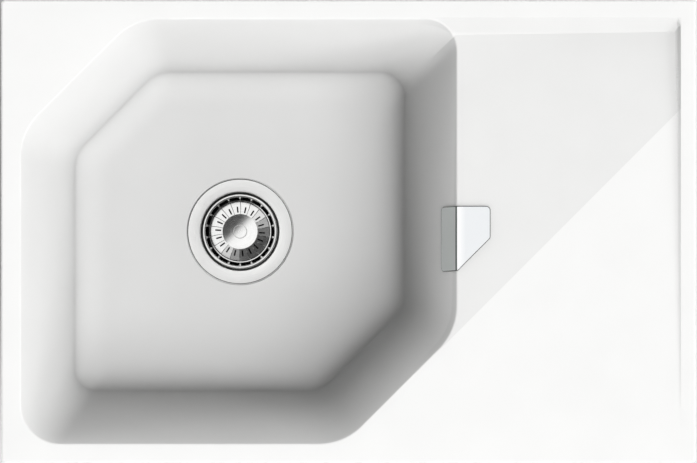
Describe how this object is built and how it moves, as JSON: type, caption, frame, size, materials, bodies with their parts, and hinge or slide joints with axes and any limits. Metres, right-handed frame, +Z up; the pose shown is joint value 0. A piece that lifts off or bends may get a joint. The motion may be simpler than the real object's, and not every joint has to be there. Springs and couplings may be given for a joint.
{
  "type": "kitchen sink",
  "caption": "Inset kitchen sink with one bowl with cut corners, a sloped drainer, a lift-out basket waste, a folded overflow cover and swing-out worktop clips.",
  "frame": {"origin": "plan centre of the sink on the plane of the worktop that its rim lies on", "axes": "+X to the drainer, +Y to the back, +Z up"},
  "size_m": [0.75, 0.5, 0.2945],
  "materials": {
    "resin": "satin",
    "brushed_steel": "brushed",
    "polished_steel": "polished",
    "steel": "satin",
    "rubber": "matt",
    "black_plastic": "moulded",
    "hose_plastic": "moulded",
    "clip_plastic": "moulded",
    "brass": "turned"
  },
  "bodies": {
    "root": {"sink_body": "resin", "rim_seal": "rubber", "strainer_flange": "brushed_steel", "flange_gasket": "rubber", "waste_gasket": "rubber", "waste_housing": "black_plastic", "housing_insert": "brass", "fixing_screw": "steel", "overflow_bridge": "steel", "overflow_screw": "steel", "overflow_gasket": "rubber", "overflow_elbow": "black_plastic", "overflow_hose": "hose_plastic", "hose_nut_top": "black_plastic", "hose_nut_bottom": "black_plastic", "hose_seals": "rubber", "clip_inserts": "brass", "clip_screws": "steel", "clip_washers": "steel"},
    "plunger": {"basket_stem": "steel", "basket_plug": "rubber", "click_ring": "steel", "basket_washer": "steel"},
    "basket": {"basket": "polished_steel", "basket_knob": "polished_steel", "knob_cap": "polished_steel"},
    "cover": {"overflow_cover": "brushed_steel", "cover_pads": "rubber"},
    "clip_1": {"clip_1": "clip_plastic"},
    "clip_2": {"clip_2": "clip_plastic"},
    "clip_3": {"clip_3": "clip_plastic"},
    "clip_4": {"clip_4": "clip_plastic"},
    "clip_5": {"clip_5": "clip_plastic"},
    "clip_6": {"clip_6": "clip_plastic"},
    "clip_7": {"clip_7": "clip_plastic"},
    "clip_8": {"clip_8": "clip_plastic"}
  },
  "joints": [
    {"name": "basket_lift", "type": "slide", "parent": "root", "child": "plunger", "axis": [0, 0, 1], "range_m": [0, 0.25]},
    {"name": "basket_turn", "type": "hinge", "parent": "plunger", "child": "basket", "pos_m": [-0.1185, 0, -0.181], "axis": [0, 0, 1], "continuous": true},
    {"name": "cover_lift", "type": "slide", "parent": "root", "child": "cover", "axis": [0, 0, 1], "range_m": [0, 0.08]},
    {"name": "clip_1_swing", "type": "hinge", "parent": "root", "child": "clip_1", "pos_m": [-0.357, 0.04, -0.03], "axis": [0, 0, 1], "range_deg": [0, 90]},
    {"name": "clip_2_swing", "type": "hinge", "parent": "root", "child": "clip_2", "pos_m": [-0.357, -0.12, -0.03], "axis": [0, 0, 1], "range_deg": [0, 90]},
    {"name": "clip_3_swing", "type": "hinge", "parent": "root", "child": "clip_3", "pos_m": [-0.12, 0.232, -0.03], "axis": [0, 0, 1], "range_deg": [0, 90]},
    {"name": "clip_4_swing", "type": "hinge", "parent": "root", "child": "clip_4", "pos_m": [0.23, 0.232, -0.03], "axis": [0, 0, 1], "range_deg": [0, 90]},
    {"name": "clip_5_swing", "type": "hinge", "parent": "root", "child": "clip_5", "pos_m": [0.357, 0.06, -0.03], "axis": [0, 0, 1], "range_deg": [0, 90]},
    {"name": "clip_6_swing", "type": "hinge", "parent": "root", "child": "clip_6", "pos_m": [0.357, -0.12, -0.03], "axis": [0, 0, 1], "range_deg": [0, 90]},
    {"name": "clip_7_swing", "type": "hinge", "parent": "root", "child": "clip_7", "pos_m": [-0.2, -0.232, -0.03], "axis": [0, 0, 1], "range_deg": [0, 90]},
    {"name": "clip_8_swing", "type": "hinge", "parent": "root", "child": "clip_8", "pos_m": [0.2, -0.232, -0.03], "axis": [0, 0, 1], "range_deg": [0, 90]}
  ]
}
